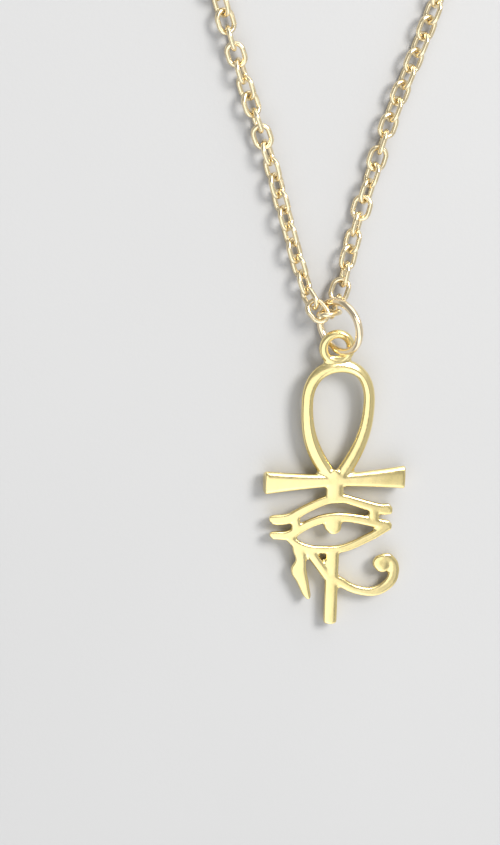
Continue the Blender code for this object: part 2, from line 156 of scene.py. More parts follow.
# Polish that isn't quite even: cloudy haze and fine rubbed hairlines
def makePolish():
    group, given, result = newGroup("rubbedPolish", (
        ("Smoothest", "NodeSocketFloat", 0.1),
        ("Dullest", "NodeSocketFloat", 0.3),
        ("Haze Scale", "NodeSocketFloat", 900.0),
        ("Hairline Scale", "NodeSocketFloat", 2500.0),
    ), (("Roughness", "NodeSocketFloat"), ("Height", "NodeSocketFloat")))
    place = addNode(group, "ShaderNodeTexCoord")
    haze = addNode(group, "ShaderNodeTexNoise", {"Detail": 4.0, "Roughness": 0.6})
    stretch = addNode(group, "ShaderNodeMapping")
    stretch.inputs["Rotation"].default_value = (0.3, 0.2, 0.9)
    stretch.inputs["Scale"].default_value = (1.0, 0.08, 1.0)
    lines = addNode(group, "ShaderNodeTexNoise", {"Detail": 2.0, "Roughness": 0.5})
    spread = addNode(group, "ShaderNodeMapRange", {"From Min": 0.3, "From Max": 0.72})
    lineWeight, hazeWeight = 0.35, 0.65
    lineShare = mathNode(group, "MULTIPLY", lines.outputs["Fac"], lineWeight)
    hazeShare = mathNode(group, "MULTIPLY", haze.outputs["Fac"], hazeWeight)
    both = mathNode(group, "ADD", lineShare, hazeShare)
    joinSockets(
        group,
        (place.outputs["Object"], haze.inputs["Vector"]),
        (given.outputs["Haze Scale"], haze.inputs["Scale"]),
        (place.outputs["Object"], stretch.inputs["Vector"]),
        (stretch.outputs["Vector"], lines.inputs["Vector"]),
        (given.outputs["Hairline Scale"], lines.inputs["Scale"]),
        (both, spread.inputs["Value"]),
        (given.outputs["Smoothest"], spread.inputs["To Min"]),
        (given.outputs["Dullest"], spread.inputs["To Max"]),
        (spread.outputs["Result"], result.inputs["Roughness"]),
        (lines.outputs["Fac"], result.inputs["Height"]))
    return group


# Soft waves of a hand polished casting
def makeCastWaves():
    group, given, result = newGroup("castWaves", (
        ("Wave Scale", "NodeSocketFloat", 500.0),
        ("Pit Scale", "NodeSocketFloat", 4000.0),
        ("Pit Share", "NodeSocketFloat", 0.1),
    ), (("Height", "NodeSocketFloat"),))
    place = addNode(group, "ShaderNodeTexCoord")
    waves = addNode(group, "ShaderNodeTexNoise", {"Detail": 1.5, "Roughness": 0.4})
    pits = addNode(group, "ShaderNodeTexNoise", {"Detail": 2.0, "Roughness": 0.5})
    pitHeight = mathNode(group, "MULTIPLY", pits.outputs["Fac"], given.outputs["Pit Share"])
    both = mathNode(group, "ADD", waves.outputs["Fac"], pitHeight)
    joinSockets(
        group,
        (place.outputs["Object"], waves.inputs["Vector"]),
        (given.outputs["Wave Scale"], waves.inputs["Scale"]),
        (place.outputs["Object"], pits.inputs["Vector"]),
        (given.outputs["Pit Scale"], pits.inputs["Scale"]),
        (both, result.inputs["Height"]))
    return group


shaderGroups = {
    "tone": makeToneDrift(),
    "polish": makePolish(),
    "waves": makeCastWaves(),
}


def placeGroup(tree, name, values):
    node = tree.nodes.new("ShaderNodeGroup")
    node.node_tree = shaderGroups[name]
    for label, value in values.items():
        node.inputs[label].default_value = value
    return node


def makeGold(name, finish):
    material = bpy.data.materials.new(name)
    material.use_nodes = True
    tree = material.node_tree
    shader = tree.nodes["Principled BSDF"]
    shader.inputs["Metallic"].default_value = 1.0
    tone = placeGroup(tree, "tone", {
        "Metal": (*finish["metal"], 1), "Deep Metal": (*finish["deepMetal"], 1),
        "Patch Scale": finish["patchScale"], "Amount": finish["patchAmount"]})
    polish = placeGroup(tree, "polish", {
        "Smoothest": finish["smoothest"], "Dullest": finish["dullest"],
        "Haze Scale": finish["hazeScale"], "Hairline Scale": finish["hairlineScale"]})
    waves = placeGroup(tree, "waves", {
        "Wave Scale": finish["waveScale"], "Pit Scale": finish["pitScale"],
        "Pit Share": finish["pitShare"]})
    wavy = addNode(tree, "ShaderNodeBump", {
        "Strength": finish["waveStrength"], "Distance": finish["waveDepth"] * mm})
    lined = addNode(tree, "ShaderNodeBump", {
        "Strength": finish["hairlineStrength"], "Distance": finish["hairlineDepth"] * mm})
    joinSockets(
        tree,
        (tone.outputs["Colour"], shader.inputs["Base Color"]),
        (polish.outputs["Roughness"], shader.inputs["Roughness"]),
        (waves.outputs["Height"], wavy.inputs["Height"]),
        (polish.outputs["Height"], lined.inputs["Height"]),
        (wavy.outputs["Normal"], lined.inputs["Normal"]),
        (lined.outputs["Normal"], shader.inputs["Normal"]))
    return material


# Mesh helpers


def newPiece(name, verts, faces):
    mesh = bpy.data.meshes.new(name)
    mesh.from_pydata([tuple(vert) for vert in verts], [], [tuple(face) for face in faces])
    mesh.update()
    thing = bpy.data.objects.new(name, mesh)
    bpy.context.scene.collection.objects.link(thing)
    return thing


def gridFaces(rows, columns, closeRows=False):
    faces = []
    for row in range(rows if closeRows else rows - 1):
        following = (row + 1) % rows
        for column in range(columns):
            beside = (column + 1) % columns
            faces.append((
                row * columns + column, row * columns + beside,
                following * columns + beside, following * columns + column))
    return faces


def wireLoop(path, radius, sides):
    # a closed round wire along a flat closed path of (x, y) in its own plane
    path = np.array(path)
    ahead = np.roll(path, -1, axis=0) - np.roll(path, 1, axis=0)
    ahead /= np.linalg.norm(ahead, axis=1)[:, None]
    outward = np.stack([ahead[:, 1], -ahead[:, 0]], axis=1)
    angles = np.arange(sides) * math.tau / sides
    verts = np.zeros((len(path), sides, 3))
    verts[:, :, :2] = (path[:, None, :]
                       + outward[:, None, :] * (radius * np.cos(angles))[None, :, None])
    verts[:, :, 2] = radius * np.sin(angles)[None, :]
    return verts.reshape(-1, 3), gridFaces(len(path), sides, closeRows=True)


def circlePath(radius, count):
    angles = [math.tau * step / count for step in range(count)]
    return [(radius * math.cos(angle), radius * math.sin(angle)) for angle in angles]


def joinParts(parts):
    # several meshes as one array of corners and one list of faces
    verts, faces, start = [], [], 0
    for partVerts, partFaces in parts:
        verts.append(partVerts)
        faces += [tuple(corner + start for corner in face) for face in partFaces]
        start += len(partVerts)
    return np.vstack(verts), faces


def readVerts(mesh):
    places = np.empty(len(mesh.vertices) * 3)
    mesh.vertices.foreach_get("co", places)
    return places.reshape(-1, 3)


def readNormals(mesh):
    normals = np.empty(len(mesh.vertices) * 3)
    mesh.vertex_normals.foreach_get("vector", normals)
    return normals.reshape(-1, 3)


def writeVerts(mesh, places):
    mesh.vertices.foreach_set("co", places.ravel())
    mesh.update()


def smoothMesh(mesh, rounds):
    # evens out the voxel steps; each pull in is followed by a push out, so no limb thins
    pullIn, pushOut = 0.5, -0.47
    places = readVerts(mesh)
    count = len(places)
    edges = np.empty(len(mesh.edges) * 2, dtype=np.int64)
    mesh.edges.foreach_get("vertices", edges)
    first, second = edges.reshape(-1, 2).T
    degree = np.bincount(first, minlength=count) + np.bincount(second, minlength=count)
    for index in range(2 * rounds):
        pull = pullIn if index % 2 == 0 else pushOut
        total = np.stack([
            np.bincount(first, weights=places[second, axis], minlength=count)
            + np.bincount(second, weights=places[first, axis], minlength=count)
            for axis in range(3)], axis=1)
        places = places + pull * (total / degree[:, None] - places)
    writeVerts(mesh, places)


def fuse(piece, voxel):
    # joins everything that overlaps in the piece under one skin
    remesh = piece.modifiers.new("fuse", "REMESH")
    remesh.mode = "VOXEL"
    remesh.voxel_size = voxel * mm
    graph = bpy.context.evaluated_depsgraph_get()
    piece.data = bpy.data.meshes.new_from_object(piece.evaluated_get(graph))
    piece.modifiers.clear()


def finishPiece(piece, material, slot, *nodes):
    piece.data.materials.clear()
    piece.data.materials.append(material)
    piece.data.shade_smooth()
    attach(piece, "root")
    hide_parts(*nodes)


# Jump ring

jumpRing = {
    "wire": 0.86,
    "radius": 2.98,            # to the middle of the wire
    "tilt": 57.7,
    "turn": 191.0,
    "middle": (-0.45, 18.308, 2.321),
    "segments": 160,
    "sides": 28,
    "finish": {
        "metal": (0.90, 0.76, 0.53), "deepMetal": (0.82, 0.64, 0.40),
        "patchScale": 500.0, "patchAmount": 0.4,
        "smoothest": 0.12, "dullest": 0.24, "hazeScale": 900.0, "hairlineScale": 3000.0,
        "waveScale": 500.0, "pitScale": 4000.0, "pitShare": 0.08,
        "waveStrength": 0.25, "waveDepth": 0.05, "hairlineStrength": 0.08, "hairlineDepth": 0.01,
    },
}


def makeJumpRing():
    path = circlePath(jumpRing["radius"], jumpRing["segments"])
    verts, faces = wireLoop(path, jumpRing["wire"] / 2, jumpRing["sides"])
    place = (Matrix.Translation(Vector(jumpRing["middle"]))
             @ Matrix.Rotation(math.radians(jumpRing["turn"]), 4, "Z")
             @ Matrix.Rotation(math.radians(jumpRing["tilt"]), 4, "Y"))
    verts = [(place @ Vector(vert)) * mm for vert in verts]
    ring = newPiece("jump_ring_wire", verts, faces)
    finishPiece(ring, makeGold("champagneGoldWire", jumpRing["finish"]), "pale_gold", "jump_ring")


makeJumpRing()
print("jump ring bent")

# Clasp

clasp = {
    "middle": (-0.725, 209.30),
    "radius": 2.7,
    "wire": 1.16,
    "eyeRadius": 1.1,
    "eyeWire": 0.7,
    "eyeReach": 4.4,           # from the middle of the ring to the middle of the eye
    "rise": 0.61,              # the links at its ends hold it this far off the surface
    "ringSegments": 96, "ringSides": 24,
    "eyeSegments": 56, "eyeSides": 16,
    "voxel": 0.1,
    "smoothRounds": 6,
    "finish": dict(jumpRing["finish"], metal=(0.89, 0.75, 0.50)),
}


def makeClasp():
    ringPath = circlePath(clasp["radius"], clasp["ringSegments"])
    eyePath = circlePath(clasp["eyeRadius"], clasp["eyeSegments"])
    eyeVerts, eyeFaces = wireLoop(eyePath, clasp["eyeWire"] / 2, clasp["eyeSides"])
    verts, faces = joinParts((
        wireLoop(ringPath, clasp["wire"] / 2, clasp["ringSides"]),
        (eyeVerts - np.array([clasp["eyeReach"], 0, 0]), eyeFaces)))
    middle = np.array([*clasp["middle"], floorZ / mm + clasp["wire"] / 2 + clasp["rise"]])
    piece = newPiece("clasp_ring_and_eye", (verts + middle) * mm, faces)
    fuse(piece, clasp["voxel"])
    smoothMesh(piece.data, clasp["smoothRounds"])
    finishPiece(piece, makeGold("champagneGoldClasp", clasp["finish"]), "clasp_gold", "clasp")


makeClasp()
print("clasp made")

# Chain

chain = {
    "wire": 0.58,
    "outerLength": 3.14,
    "outerWidth": 2.38,
    "pitch": 1.94,
    "endSteps": 13,            # segments round each end of a link
    "sideSteps": 4,
    "sides": 12,
    # the links out of view have fewer faces and lean to both sides in turn
    "hiddenSides": 8,
    "hiddenEndSteps": 9,
    "hiddenSideSteps": 2,
    "hiddenRoll": 45.0,
    "rollJitter": 9.0,
    "seed": 11,
    # the far side of the loop, and the slope of each strand to the loop's axis
    "loopMiddle": (-2.0, 161.80),
    "loopRadius": 47.5,
    "loopSlope": 19.5,
    "leftStart": 96.5,            # compass where each half leaves the clasp
    "rightStart": 83.5,
    "arcSteps": 60,
    "straightSteps": 20,
    "leftEnd": (-6.72, 209.08),   # middle of the last link, through the clasp's eye
    "rightEnd": (2.25, 209.30),   # middle of the last link, through the clasp's ring
    "uprightLinks": 6,            # the links by the clasp turn upright over this many
    "calmRounds": 2,
    "heightRounds": 6,
    "finish": {
        "metal": (0.90, 0.77, 0.51), "deepMetal": (0.80, 0.64, 0.38),
        "patchScale": 700.0, "patchAmount": 0.45,
        "smoothest": 0.16, "dullest": 0.3, "hazeScale": 1200.0, "hairlineScale": 3500.0,
        "waveScale": 900.0, "pitScale": 5000.0, "pitShare": 0.1,
        "waveStrength": 0.25, "waveDepth": 0.04, "hairlineStrength": 0.08, "hairlineDepth": 0.008,
    },
}

# Middles of the links in view, from the far end down to the jump ring: x, y, and the roll
# of the link about its own length, seen from the camera.
leftStrand = (
    (-14.40, 54.41, 49), (-13.94, 52.44, -22), (-13.26, 50.81, 92), (-12.75, 49.07, 11),
    (-12.00, 47.32, -68), (-11.56, 45.57, 44), (-10.84, 43.45, -34), (-10.27, 41.81, 79),
    (-9.57, 40.03, 3), (-8.80, 38.14, -65), (-8.16, 36.36, 49), (-7.79, 34.45, -50),
    (-7.18, 32.66, 48), (-6.56, 30.63, -53), (-6.03, 28.82, 57), (-5.45, 26.88, -51),
    (-4.97, 24.95, 53), (-4.19, 23.12, -59),
)
rightStrand = (
    (9.84, 53.43, 44), (9.17, 51.68, -34), (8.50, 49.81, 48), (7.90, 48.05, -37),
    (7.03, 46.29, 53), (6.35, 44.42, -33), (5.68, 42.65, 53), (5.07, 40.76, -30),
    (4.37, 39.00, 82), (4.01, 37.22, -18), (3.34, 35.07, 53), (2.77, 33.53, -59),
    (2.29, 31.39, 8), (1.66, 29.36, -74), (1.27, 27.69, 41), (0.79, 25.77, -40),
    (0.46, 23.96, 73),
)

# Links that pass through the jump ring: middle, with its height above the surface, direction
# of the link's length, and roll.
foldedLinks = (
    ((-3.633, 21.395, 1.546), (0.404, -0.743, 0.533), 56.2),
    ((-2.887, 20.041, 2.363), (0.592, -0.712, 0.377), -2.6),
    ((-1.624, 19.824, 2.662), (0.933, 0.048, -0.355), -77.4),
    ((-0.611, 20.350, 1.505), (0.376, 0.899, -0.225), 94.3),
    ((-0.093, 22.140, 1.284), (0.334, 0.935, -0.115), -6.8),
)


def linkPath(endSteps, sideSteps):
    # the middle line of one oval link, its length along x
    radius = (chain["outerWidth"] - chain["wire"]) / 2
    half = (chain["outerLength"] - chain["outerWidth"]) / 2
    path = []
    for side in (1, -1):
        for step in range(endSteps):
            angle = -math.pi / 2 + math.pi * step / endSteps
            path.append((side * (half + radius * math.cos(angle)),
                         side * radius * math.sin(angle)))
        for step in range(sideSteps):
            path.append((side * half * (1 - 2 * step / sideSteps), side * radius))
    return path


def linkTurn(along, roll, facing):
    # at no roll the flat of the link looks to the facing side
    across = (facing - along * facing.dot(along)).normalized()
    angle = math.radians(roll)
    normal = across * math.cos(angle) + along.cross(across) * math.sin(angle)
    return Matrix((along, normal.cross(along), normal)).transposed()


def evenPlaces(points, count):
    # the given number of places, evenly spaced along a polyline from its first to its last point
    points = np.array(points, dtype=float)
    spans = np.linalg.norm(np.diff(points, axis=0), axis=1)
    reach = np.concatenate([[0.0], np.cumsum(spans)])
    marks = np.linspace(0.0, reach[-1], count)
    return np.stack([np.interp(marks, reach, points[:, axis]) for axis in range(2)], axis=1)


def pathLength(points):
    return float(np.linalg.norm(np.diff(np.array(points), axis=0), axis=1).sum())


def calmed(points, rounds):
    # takes the unevenness out of points that were read off
    points = np.array(points, dtype=float)
    for _ in range(rounds):
        points[1:-1] = 0.25 * points[:-2] + 0.5 * points[1:-1] + 0.25 * points[2:]
    return points


def hiddenRoute(start, fromAngle, end):
    # from the clasp round the loop's far side and down the straight strand
    middle = chain["loopMiddle"]
    route = [start]
    toAngle = 180 + chain["loopSlope"] if fromAngle > 90 else -chain["loopSlope"]
    for step in range(chain["arcSteps"] + 1):
        angle = math.radians(fromAngle + (toAngle - fromAngle) * step / chain["arcSteps"])
        route.append((
            middle[0] + chain["loopRadius"] * math.cos(angle),
            middle[1] + chain["loopRadius"] * math.sin(angle)))
    turnX, turnY = route[-1]
    for step in range(1, chain["straightSteps"] + 1):
        share = step / chain["straightSteps"]
        route.append((turnX + (end[0] - turnX) * share, turnY + (end[1] - turnY) * share))
    return route


def strandLinks(front, start, fromAngle, draws):
    visible = evenPlaces(calmed([row[:2] for row in front], chain["calmRounds"]), len(front))
    route = hiddenRoute(start, fromAngle, tuple(visible[0]))
    count = round(pathLength(route) / chain["pitch"])
    hidden = evenPlaces(route, count + 1)[:-1]
    first = (1 if front[0][2] > 0 else -1) * (1 if count % 2 == 0 else -1)
    rolls = []
    for index in range(count):
        settled = min(1.0, index / chain["uprightLinks"])
        upright = (1 - settled) * (90 - chain["hiddenRoll"])
        lean = chain["hiddenRoll"] * (1 if index % 2 == 0 else -1)
        jitter = draws.uniform(-1, 1) * chain["rollJitter"] * settled
        rolls.append(first * (upright + lean) + jitter)
    places = [tuple(place) for place in hidden] + [tuple(place) for place in visible]
    return places, rolls + [row[2] for row in front], count


def linkedStrand(front, start, fromAngle, draws):
    places, rolls, hiddenCount = strandLinks(front, start, fromAngle, draws)
    alongs = []
    for index in range(len(places)):
        ahead = Vector(places[min(index + 1, len(places) - 1)])
        behind = Vector(places[max(index - 1, 0)])
        alongs.append(Vector((*(ahead - behind), 0.0)).normalized())
    facings = [Vector((0, 0, 1)) if index < hiddenCount else viewDirection
               for index in range(len(places))]
    radius = (chain["outerWidth"] - chain["wire"]) / 2
    lowest = [radius * abs(linkTurn(*given).col[1].z) + chain["wire"] / 2
              for given in zip(alongs, rolls, facings)]
    heights = list(lowest)
    for _ in range(chain["heightRounds"]):     # a link is held up by the ones beside it
        held = [heights[0], *heights, heights[-1]]
        heights = [max(low, (before + 2 * own + after) / 4)
                   for low, before, own, after in zip(lowest, held, held[1:], held[2:])]
    links = []
    for index, place in enumerate(places):
        slope = heights[min(index + 1, len(places) - 1)] - heights[max(index - 1, 0)]
        along = (alongs[index] * 2 * chain["pitch"] + Vector((0, 0, slope))).normalized()
        turn = linkTurn(along, rolls[index], facings[index])
        # a sloping link is raised by what its low end would dip
        dip = abs(along.z) * (chain["outerLength"] - chain["outerWidth"]) / 2
        height = floorZ / mm + heights[index] + dip
        links.append((Vector((*place, height)), turn, index < hiddenCount))
    return links


def makeChain():
    draws = random.Random(chain["seed"])
    links = linkedStrand(leftStrand, chain["leftEnd"], chain["leftStart"], draws)
    right = linkedStrand(rightStrand, chain["rightEnd"], chain["rightStart"], draws)
    for place, along, roll in foldedLinks:
        turn = linkTurn(Vector(along).normalized(), roll, viewDirection)
        links.append((Vector((place[0], place[1], floorZ / mm + place[2])), turn, False))
    links += right[::-1]
    finePath = linkPath(chain["endSteps"], chain["sideSteps"])
    plainPath = linkPath(chain["hiddenEndSteps"], chain["hiddenSideSteps"])
    fine = wireLoop(finePath, chain["wire"] / 2, chain["sides"])
    plain = wireLoop(plainPath, chain["wire"] / 2, chain["hiddenSides"])
    parts = []
    for place, turn, hidden in links:
        linkVerts, linkFaces = plain if hidden else fine
        parts.append((linkVerts @ np.array(turn).T + np.array(place), linkFaces))
    verts, faces = joinParts(parts)
    piece = newPiece("chain_links", verts * mm, faces)
    finishPiece(piece, makeGold("champagneGoldLinks", chain["finish"]), "chain_gold", "chain")
    print("chain of", len(links), "links,", len(faces), "faces")


makeChain()

# Pendant

casting = {
    "thickness": 1.6,
    "lowerHeight": 17.1,       # from the crossing down to the foot
    "voxel": 0.106,
    "smoothRounds": 5,         # smoothing at the end
    "voxelRounds": 2,          # smoothing after each fusing
    "fillet": 0.2,             # radius of the soft inner corners
    "plating": 0.06,           # sideways growth that makes up for the polished edges
    "spreadFrom": 0.35, "spreadTo": 1.2,   # heights between which the faces lean out
    "backInset": 0.14,         # rounding of the back edges
    "backInsetShare": 0.3,     # most of it on a thin limb, as a share of the half width
    "backRise": 0.42,
    "cornerCuts": 3,           # rounds in which the corners of a section are cut round
    "dome": 0.09,              # thinning towards the ends of the arms
    "domeReach": 8.2,
    "tip": (0.45, 0.5),        # reach and narrowing of a limb's end, in shares of its half width
    "tipTurn": 84.0,
    "tipRows": 8,
    "finish": {
        "metal": (0.95, 0.785, 0.385), "deepMetal": (0.86, 0.68, 0.25),
        "patchScale": 260.0, "patchAmount": 0.35,
        "smoothest": 0.14, "dullest": 0.27, "hazeScale": 800.0, "hairlineScale": 2500.0,
        "waveScale": 420.0, "pitScale": 4000.0, "pitShare": 0.1,
        "waveStrength": 0.35, "waveDepth": 0.06, "hairlineStrength": 0.06, "hairlineDepth": 0.01,
    },
}

hoop = {
    "width": 8.38, "height": 14.15,
    "widest": 9.3,             # height of the widest place above the crossing
    "sideLimb": 1.08, "topLimb": 1.26, "rootLimb": 1.46,     # widths of the limb
    "rootX": 0.84, "rootY": 0.76, "rootLean": 33.0,
    "swell": 0.22, "swellRise": 0.7,           # the left limb is a little thicker low down
    "foot": 0.35,              # share of the root's place where the limb ends in the crossing
    "fullness": 0.62,          # roundness of the top
    "rootPull": 0.36, "sidePull": 0.39,        # straightness of the sides
    "rootTaper": 1.3, "topTaper": 2.0,
    "lowerSteps": 60, "upperSteps": 50,
    # bevels in shares of the half width, drops in mm, left is the outside of the hoop; the
    # spread is how far the face reaches over the sides that the camera sees
    "edge": {"leftBevel": 1.15, "leftDrop": 0.3,
             "rightBevel": 0.8, "rightDrop": 0.24, "spread": (-0.2, 0.22)},
}

arms = {
    "span": 16.46, "shift": -0.1, "rootHeight": 1.08, "endHeight": 2.38,
    "flare": 1.45,             # how late along the arm the flare opens
    "steps": 40,
    "edge": {"leftBevel": 0.32, "leftDrop": 0.42,
             "rightBevel": 0.34, "rightDrop": 0.17, "spread": (0.0, 0.3)},
}

stem = {
    "neckWidth": 1.7, "neckTop": 0.1, "width": 1.22, "shift": -0.05,
    "webWidth": 1.3, "webEnd": 0.6, "webTip": (0.8, 0.95),       # fills the foot of the hoop
    # half length, middle and width of the flat field where the arms cross
    "plateau": 1.1, "plateauMiddle": 0.1, "plateauWidth": 1.2,
    "plateauEdge": {"leftBevel": 0.7, "leftDrop": 0.35,
                    "rightBevel": 0.3, "rightDrop": 0.08, "spread": (0.0, 0.2)},
    "edge": {"leftBevel": 0.16, "leftDrop": 0.2,
             "rightBevel": 0.16, "rightDrop": 0.2, "spread": (-0.25, 0.04)},
    "steps": 40,
}

eyelet = {
    "hole": 2.3, "wire": 0.9, "shift": -0.45, "middle": 1.0,
    "sink": 0.5,               # share of its wire that stands in the hoop
    "segments": 96, "sides": 28,
    "collarWidth": 2.0, "collarDepth": 1.0, "collarDrop": 0.09, "collarRise": 0.85,
}

eyeFigure = {
    "halfWidth": 7.4,          # from the axis to the tips of the left tails
    "band": 0.56,
    "rowSteps": 8,             # stations between two rows of a limb
    # where the brow and the lids pass the axis, in lower heights
    "browMiddle": -0.128, "upperLidMiddle": -0.257, "lowerLidMiddle": -0.484,
    "pupilWidth": 1.72, "pupilEnd": -0.320, "pupilShift": -0.02, "pupilTip": (0.85, 0.95),
    "ball": 1.8, "ballPlace": (0.80, -0.603), "ballSteps": 40,
    "ballEdge": {"leftBevel": 0.26, "leftDrop": 0.08, "rightBevel": 0.25, "rightDrop": 0.16},
    "edge": {"leftBevel": 0.26, "leftDrop": 0.08,
             "rightBevel": 0.26, "rightDrop": 0.08, "spread": (-0.25, 0.28)},
}

# Limbs of the eye figure: across in half widths, down in lower heights, width in bands
eyeLimbs = {
    "brow": (
        (-0.995, -0.258, 1.1), (-0.93, -0.26, 1.5), (-0.80, -0.258, 1.5), (-0.68, -0.245, 1.3),
        (-0.52, -0.204, 1.05), (-0.34, -0.167, 1.0), (-0.16, -0.137, 1.05), (0.0, -0.128, 1.2),
        (0.16, -0.131, 1.3), (0.33, -0.155, 1.35), (0.50, -0.180, 1.45), (0.66, -0.205, 1.6),
        (0.78, -0.217, 1.65), (0.88, -0.217, 1.65)),
    "upperLid": (
        (-0.985, -0.368, 0.9), (-0.88, -0.369, 1.1), (-0.76, -0.372, 1.25), (-0.66, -0.360, 1.25),
        (-0.58, -0.337, 1.1), (-0.48, -0.313, 1.0), (-0.34, -0.286, 1.0), (-0.18, -0.266, 1.15),
        (0.03, -0.257, 1.25), (0.22, -0.264, 1.3), (0.40, -0.279, 1.4), (0.56, -0.296, 1.5),
        (0.72, -0.315, 1.5), (0.81, -0.328, 1.6), (0.88, -0.333, 1.55)),
    "lowerLid": (
        (-0.72, -0.384, 1.35), (-0.63, -0.422, 1.45), (-0.50, -0.455, 1.3), (-0.36, -0.473, 1.05),
        (-0.20, -0.481, 0.95), (0.0, -0.484, 0.9), (0.16, -0.479, 0.9), (0.32, -0.458, 0.9),
        (0.49, -0.426, 0.92), (0.66, -0.392, 0.95), (0.84, -0.345, 1.1)),
    "tearMark": (
        (-0.58, -0.435, 1.7), (-0.545, -0.485, 2.05), (-0.515, -0.543, 1.6), (-0.52, -0.580, 1.9),
        (-0.538, -0.612, 2.6), (-0.533, -0.637, 2.7), (-0.510, -0.663, 2.4), (-0.487, -0.685, 2.1),
        (-0.440, -0.747, 1.55), (-0.405, -0.793, 1.15), (-0.388, -0.816, 0.5)),
    "strut": ((-0.40, -0.479, 1.85), (-0.26, -0.561, 1.7), (-0.055, -0.680, 1.85)),
    "curl": (
        (0.02, -0.694, 1.9), (0.155, -0.722, 1.65), (0.27, -0.753, 1.45), (0.405, -0.779, 1.3),
        (0.565, -0.796, 1.25), (0.70, -0.797, 1.3), (0.825, -0.778, 1.35), (0.925, -0.746, 1.4),
        (0.985, -0.708, 1.5), (1.005, -0.667, 1.55), (1.005, -0.628, 1.55), (0.98, -0.592, 1.5),
        (0.925, -0.570, 1.45), (0.855, -0.568, 1.5), (0.80, -0.578, 1.6)),
    "leftPost": ((-0.64, -0.245, 1.45), (-0.585, -0.345, 1.45)),
    "rightPost": ((0.625, -0.205, 1.4), (0.645, -0.305, 1.4)),
}


def smoothRows(rows, steps):
    # one smooth curve through all the rows
    rows = np.array(rows, dtype=float)
    padded = np.vstack([2 * rows[0] - rows[1], rows, 2 * rows[-1] - rows[-2]])
    result = []
    for before, start, end, after in zip(padded, padded[1:], padded[2:], padded[3:]):
        for step in range(steps):
            t = step / steps
            result.append(0.5 * (
                2 * start + (end - before) * t
                + (2 * before - 5 * start + 4 * end - after) * t ** 2
                + (3 * start - before - 3 * end + after) * t ** 3))
    result.append(rows[-1])
    return result


def limbSection(half, edge):
    # across and height of a limb's section; the bevels differ on its two sides
    top = casting["thickness"]
    leftBevel = edge["leftBevel"] * half
    rightBevel = edge["rightBevel"] * half
    inset = min(casting["backInset"], casting["backInsetShare"] * half)
    rows = [
        (-half + inset, 0.0), (-half, casting["backRise"]), (-half, top - edge["leftDrop"]),
        (-half + leftBevel, top), (half - rightBevel, top),
        (half, top - edge["rightDrop"]), (half, casting["backRise"]), (half - inset, 0.0)]
    for _ in range(casting["cornerCuts"]):
        cut = [rows[0]]
        for (x0, z0), (x1, z1) in zip(rows, rows[1:]):
            cut.append((0.75 * x0 + 0.25 * x1, 0.75 * z0 + 0.25 * z1))
            cut.append((0.25 * x0 + 0.75 * x1, 0.25 * z0 + 0.75 * z1))
        rows = cut + [rows[-1]]
    return rows


def spreadFaces(verts, faces, spread):
    # the solid and a copy of it whose top is moved over the sides in view
    start, end = casting["spreadFrom"], casting["spreadTo"]
    share = np.clip((verts[:, 2:] - start) / (end - start), 0, 1)
    moved = verts + share * np.array([[*spread, 0]])
    count = len(verts)
    return (np.vstack([verts, moved]),
            faces + [tuple(corner + count for corner in face) for face in faces])


def limbMesh(stations, edge):
    # closed loft over stations of x, y and half width
    stations = np.array(stations)
    ahead = np.gradient(stations[:, :2], axis=0)
    ahead /= np.linalg.norm(ahead, axis=1)[:, None]
    verts = []
    for (x, y, half), (alongX, alongY) in zip(stations, ahead):
        for across, height in limbSection(half, edge):
            verts.append((x + alongY * across, y - alongX * across, height))
    columns = len(verts) // len(stations)
    faces = gridFaces(len(stations), columns)
    faces.append(tuple(range(columns))[::-1])
    faces.append(tuple(range(len(verts) - columns, len(verts))))
    return spreadFaces(np.array(verts), faces, edge["spread"])


def roundTip(stations, tip=casting["tip"]):
    # adds stations that narrow beyond the last one
    reach, narrowing = tip
    rows = casting["tipRows"]
    last = np.array(stations[-1][:2])
    along = last - np.array(stations[-2][:2])
    along /= np.linalg.norm(along)
    half = stations[-1][2]
    stations = list(stations)
    for row in range(1, rows + 1):
        angle = math.radians(casting["tipTurn"]) * row / rows
        place = last + along * reach * half * math.sin(angle)
        share = 1 - narrowing + narrowing * math.cos(angle)
        stations.append((place[0], place[1], half * share))
    return stations


def roundBoth(stations):
    return roundTip(roundTip(stations)[::-1])[::-1]


def eyeStations(name):
    rows = smoothRows(eyeLimbs[name], eyeFigure["rowSteps"])
    return [(row[0] * eyeFigure["halfWidth"], row[1] * casting["lowerHeight"],
             row[2] * eyeFigure["band"] / 2) for row in rows]


